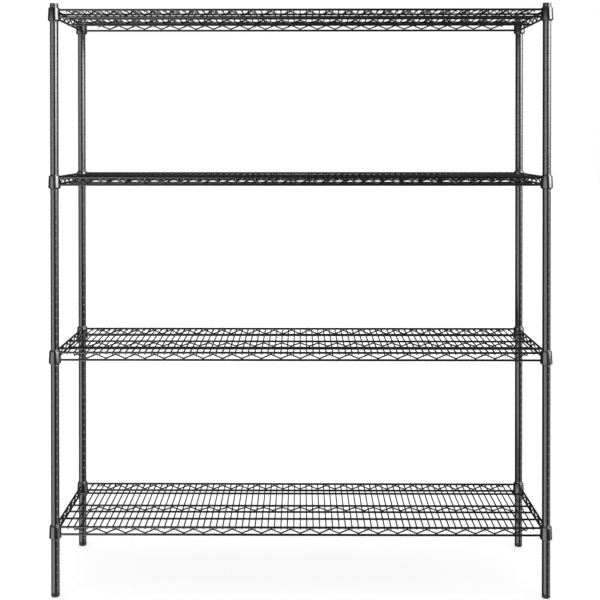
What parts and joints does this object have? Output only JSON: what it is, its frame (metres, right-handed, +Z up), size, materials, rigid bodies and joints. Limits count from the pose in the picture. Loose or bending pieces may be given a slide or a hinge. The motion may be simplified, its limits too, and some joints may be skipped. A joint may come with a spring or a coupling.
{
  "type": "wire shelving rack",
  "caption": "Free-standing wire shelving rack: grooved round posts hold welded wire shelves with zigzag truss edges on split tapered sleeves, over levelling feet.",
  "frame": {"origin": "on the floor, under the middle of the rack", "axes": "+Z up along the posts, +X to the right along the width, front faces -Y"},
  "size_m": [1.6054, 0.4594, 1.8931],
  "materials": {
    "epoxy_steel": "semi-gloss black epoxy powder coat over steel",
    "sleeve_nylon": "moulded black nylon",
    "cap_nylon": "moulded black nylon, satin",
    "foot_nylon": "moulded black nylon",
    "insert_nylon": "moulded black nylon"
  },
  "bodies": {
    "uprights": {"post_front_left": "epoxy_steel", "post_cap_front_left": "cap_nylon", "foot_insert_front_left": "insert_nylon", "post_back_left": "epoxy_steel", "post_cap_back_left": "cap_nylon", "foot_insert_back_left": "insert_nylon", "post_front_right": "epoxy_steel", "post_cap_front_right": "cap_nylon", "foot_insert_front_right": "insert_nylon", "post_back_right": "epoxy_steel", "post_cap_back_right": "cap_nylon", "foot_insert_back_right": "insert_nylon", "sleeve_1_front_left_outer": "sleeve_nylon", "sleeve_1_front_left_inner": "sleeve_nylon", "sleeve_1_back_left_outer": "sleeve_nylon", "sleeve_1_back_left_inner": "sleeve_nylon", "sleeve_1_front_right_outer": "sleeve_nylon", "sleeve_1_front_right_inner": "sleeve_nylon", "sleeve_1_back_right_outer": "sleeve_nylon", "sleeve_1_back_right_inner": "sleeve_nylon", "sleeve_2_front_left_outer": "sleeve_nylon", "sleeve_2_front_left_inner": "sleeve_nylon", "sleeve_2_back_left_outer": "sleeve_nylon", "sleeve_2_back_left_inner": "sleeve_nylon", "sleeve_2_front_right_outer": "sleeve_nylon", "sleeve_2_front_right_inner": "sleeve_nylon", "sleeve_2_back_right_outer": "sleeve_nylon", "sleeve_2_back_right_inner": "sleeve_nylon", "sleeve_3_front_left_outer": "sleeve_nylon", "sleeve_3_front_left_inner": "sleeve_nylon", "sleeve_3_back_left_outer": "sleeve_nylon", "sleeve_3_back_left_inner": "sleeve_nylon", "sleeve_3_front_right_outer": "sleeve_nylon", "sleeve_3_front_right_inner": "sleeve_nylon", "sleeve_3_back_right_outer": "sleeve_nylon", "sleeve_3_back_right_inner": "sleeve_nylon", "sleeve_4_front_left_outer": "sleeve_nylon", "sleeve_4_front_left_inner": "sleeve_nylon", "sleeve_4_back_left_outer": "sleeve_nylon", "sleeve_4_back_left_inner": "sleeve_nylon", "sleeve_4_front_right_outer": "sleeve_nylon", "sleeve_4_front_right_inner": "sleeve_nylon", "sleeve_4_back_right_outer": "sleeve_nylon", "sleeve_4_back_right_inner": "sleeve_nylon"},
    "shelf_1": {"shelf_1_frame": "epoxy_steel", "shelf_1_deck": "epoxy_steel", "shelf_1_truss": "epoxy_steel"},
    "shelf_2": {"shelf_2_frame": "epoxy_steel", "shelf_2_deck": "epoxy_steel", "shelf_2_truss": "epoxy_steel"},
    "shelf_3": {"shelf_3_frame": "epoxy_steel", "shelf_3_deck": "epoxy_steel", "shelf_3_truss": "epoxy_steel"},
    "shelf_4": {"shelf_4_frame": "epoxy_steel", "shelf_4_deck": "epoxy_steel", "shelf_4_truss": "epoxy_steel"},
    "foot_front_left": {"levelling_foot_front_left": "foot_nylon"},
    "foot_back_left": {"levelling_foot_back_left": "foot_nylon"},
    "foot_front_right": {"levelling_foot_front_right": "foot_nylon"},
    "foot_back_right": {"levelling_foot_back_right": "foot_nylon"}
  },
  "joints": [
    {"name": "shelf_1_lift", "type": "slide", "parent": "uprights", "child": "shelf_1", "axis": [0, 0, 1], "range_m": [0, 0.1]},
    {"name": "shelf_2_lift", "type": "slide", "parent": "uprights", "child": "shelf_2", "axis": [0, 0, 1], "range_m": [0, 0.485]},
    {"name": "shelf_3_lift", "type": "slide", "parent": "uprights", "child": "shelf_3", "axis": [0, 0, 1], "range_m": [0, 0.51]},
    {"name": "shelf_4_lift", "type": "slide", "parent": "uprights", "child": "shelf_4", "axis": [0, 0, 1], "range_m": [0, 0.51]},
    {"name": "foot_front_left_screw", "type": "slide", "parent": "uprights", "child": "foot_front_left", "axis": [0, 0, -1], "range_m": [0, 0.015]},
    {"name": "foot_back_left_screw", "type": "slide", "parent": "uprights", "child": "foot_back_left", "axis": [0, 0, -1], "range_m": [0, 0.015]},
    {"name": "foot_front_right_screw", "type": "slide", "parent": "uprights", "child": "foot_front_right", "axis": [0, 0, -1], "range_m": [0, 0.015]},
    {"name": "foot_back_right_screw", "type": "slide", "parent": "uprights", "child": "foot_back_right", "axis": [0, 0, -1], "range_m": [0, 0.015]}
  ]
}
